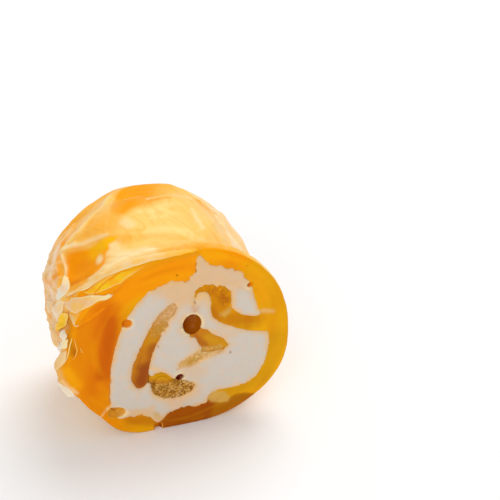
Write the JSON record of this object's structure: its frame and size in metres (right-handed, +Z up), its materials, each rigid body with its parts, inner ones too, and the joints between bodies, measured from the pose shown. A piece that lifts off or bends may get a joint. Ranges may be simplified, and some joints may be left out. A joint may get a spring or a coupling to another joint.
{
  "type": "salt water taffy",
  "caption": "Soft pulled candy cut from a rolled rope, lying on its side, with an amber outer sheet and a swirled white core that shows at both cuts.",
  "frame": {"origin": "bottom centre of the piece's bounding box, on the surface that it rests on", "axes": "+X across the roll, to the right when the shown cut faces the viewer; +Y along the roll from the shown cut to the back cut; +Z up"},
  "size_m": [0.0262, 0.0162, 0.0249],
  "materials": {
    "amber_taffy": "soft pulled sugar taffy, slightly translucent, glossy where it is smooth, with pale flaky folds",
    "white_taffy": "aerated white taffy, smooth and matt with a faint pink cast",
    "deep_amber_taffy": "denser translucent amber taffy inside the core, satin",
    "foamed_taffy": "foamed golden taffy, full of tiny bubbles, grainy"
  },
  "bodies": {
    "root": {"amber_wrap": "amber_taffy", "white_core": "white_taffy", "amber_curl": "deep_amber_taffy", "amber_wedge": "deep_amber_taffy", "foam_nodule": "foamed_taffy"}
  },
  "joints": []
}
